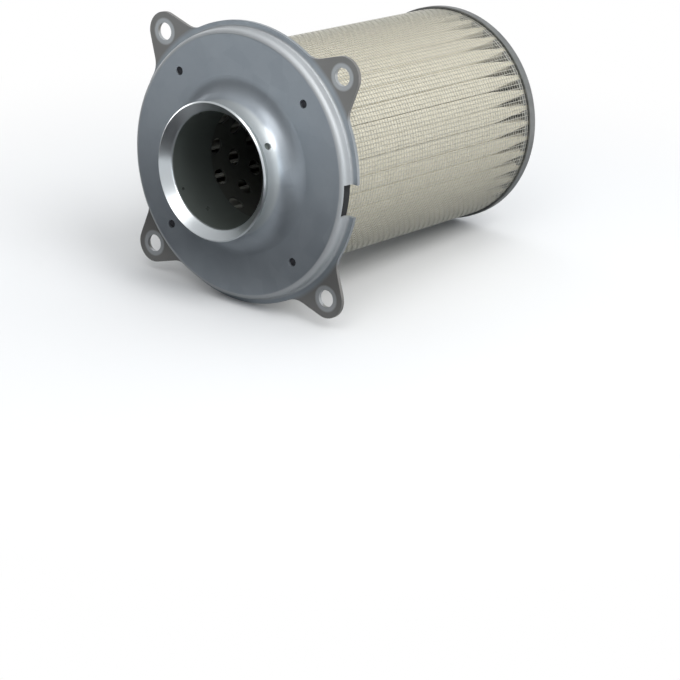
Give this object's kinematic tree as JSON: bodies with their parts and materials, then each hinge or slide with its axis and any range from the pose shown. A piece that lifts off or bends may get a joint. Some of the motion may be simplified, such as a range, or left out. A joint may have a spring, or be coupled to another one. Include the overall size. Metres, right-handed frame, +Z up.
{
  "type": "air filter",
  "caption": "Cylindrical pleated air filter element with a wire screen, a closed end cap and a round eared flange around its outlet neck.",
  "frame": {"origin": "on the filter's axis, in the plane of the ears' rear faces, where the flange seats", "axes": "-Y out of the outlet neck, +Y towards the closed end cap, +Z up with two ears above, +X towards the side with the notch"},
  "size_m": [0.1059, 0.1474, 0.106],
  "materials": {
    "galvanised_plate": "galvanised, satin, blue-grey with faint spangle",
    "bright_sleeve": "bright zinc, smooth",
    "weld_metal": "dark, rough",
    "gasket_rubber": "matt black",
    "zinc_sheet": "satin zinc",
    "sealant": "cured sealant, semi-gloss dark grey",
    "filter_paper": "cream filter paper, matt",
    "screen_wire": "fine woven galvanised wire",
    "cap_steel": "dark grey, satin"
  },
  "bodies": {
    "root": {"flange_plate": "galvanised_plate", "outlet_sleeve": "bright_sleeve", "plug_welds": "weld_metal", "flange_gasket": "gasket_rubber", "front_channel": "zinc_sheet", "front_potting": "sealant", "perforated_core": "zinc_sheet", "pleated_paper": "filter_paper", "pleat_seam_clip": "zinc_sheet", "outer_screen": "screen_wire", "screen_seam_strip": "zinc_sheet", "rear_potting": "sealant", "end_cap": "cap_steel"}
  },
  "joints": []
}
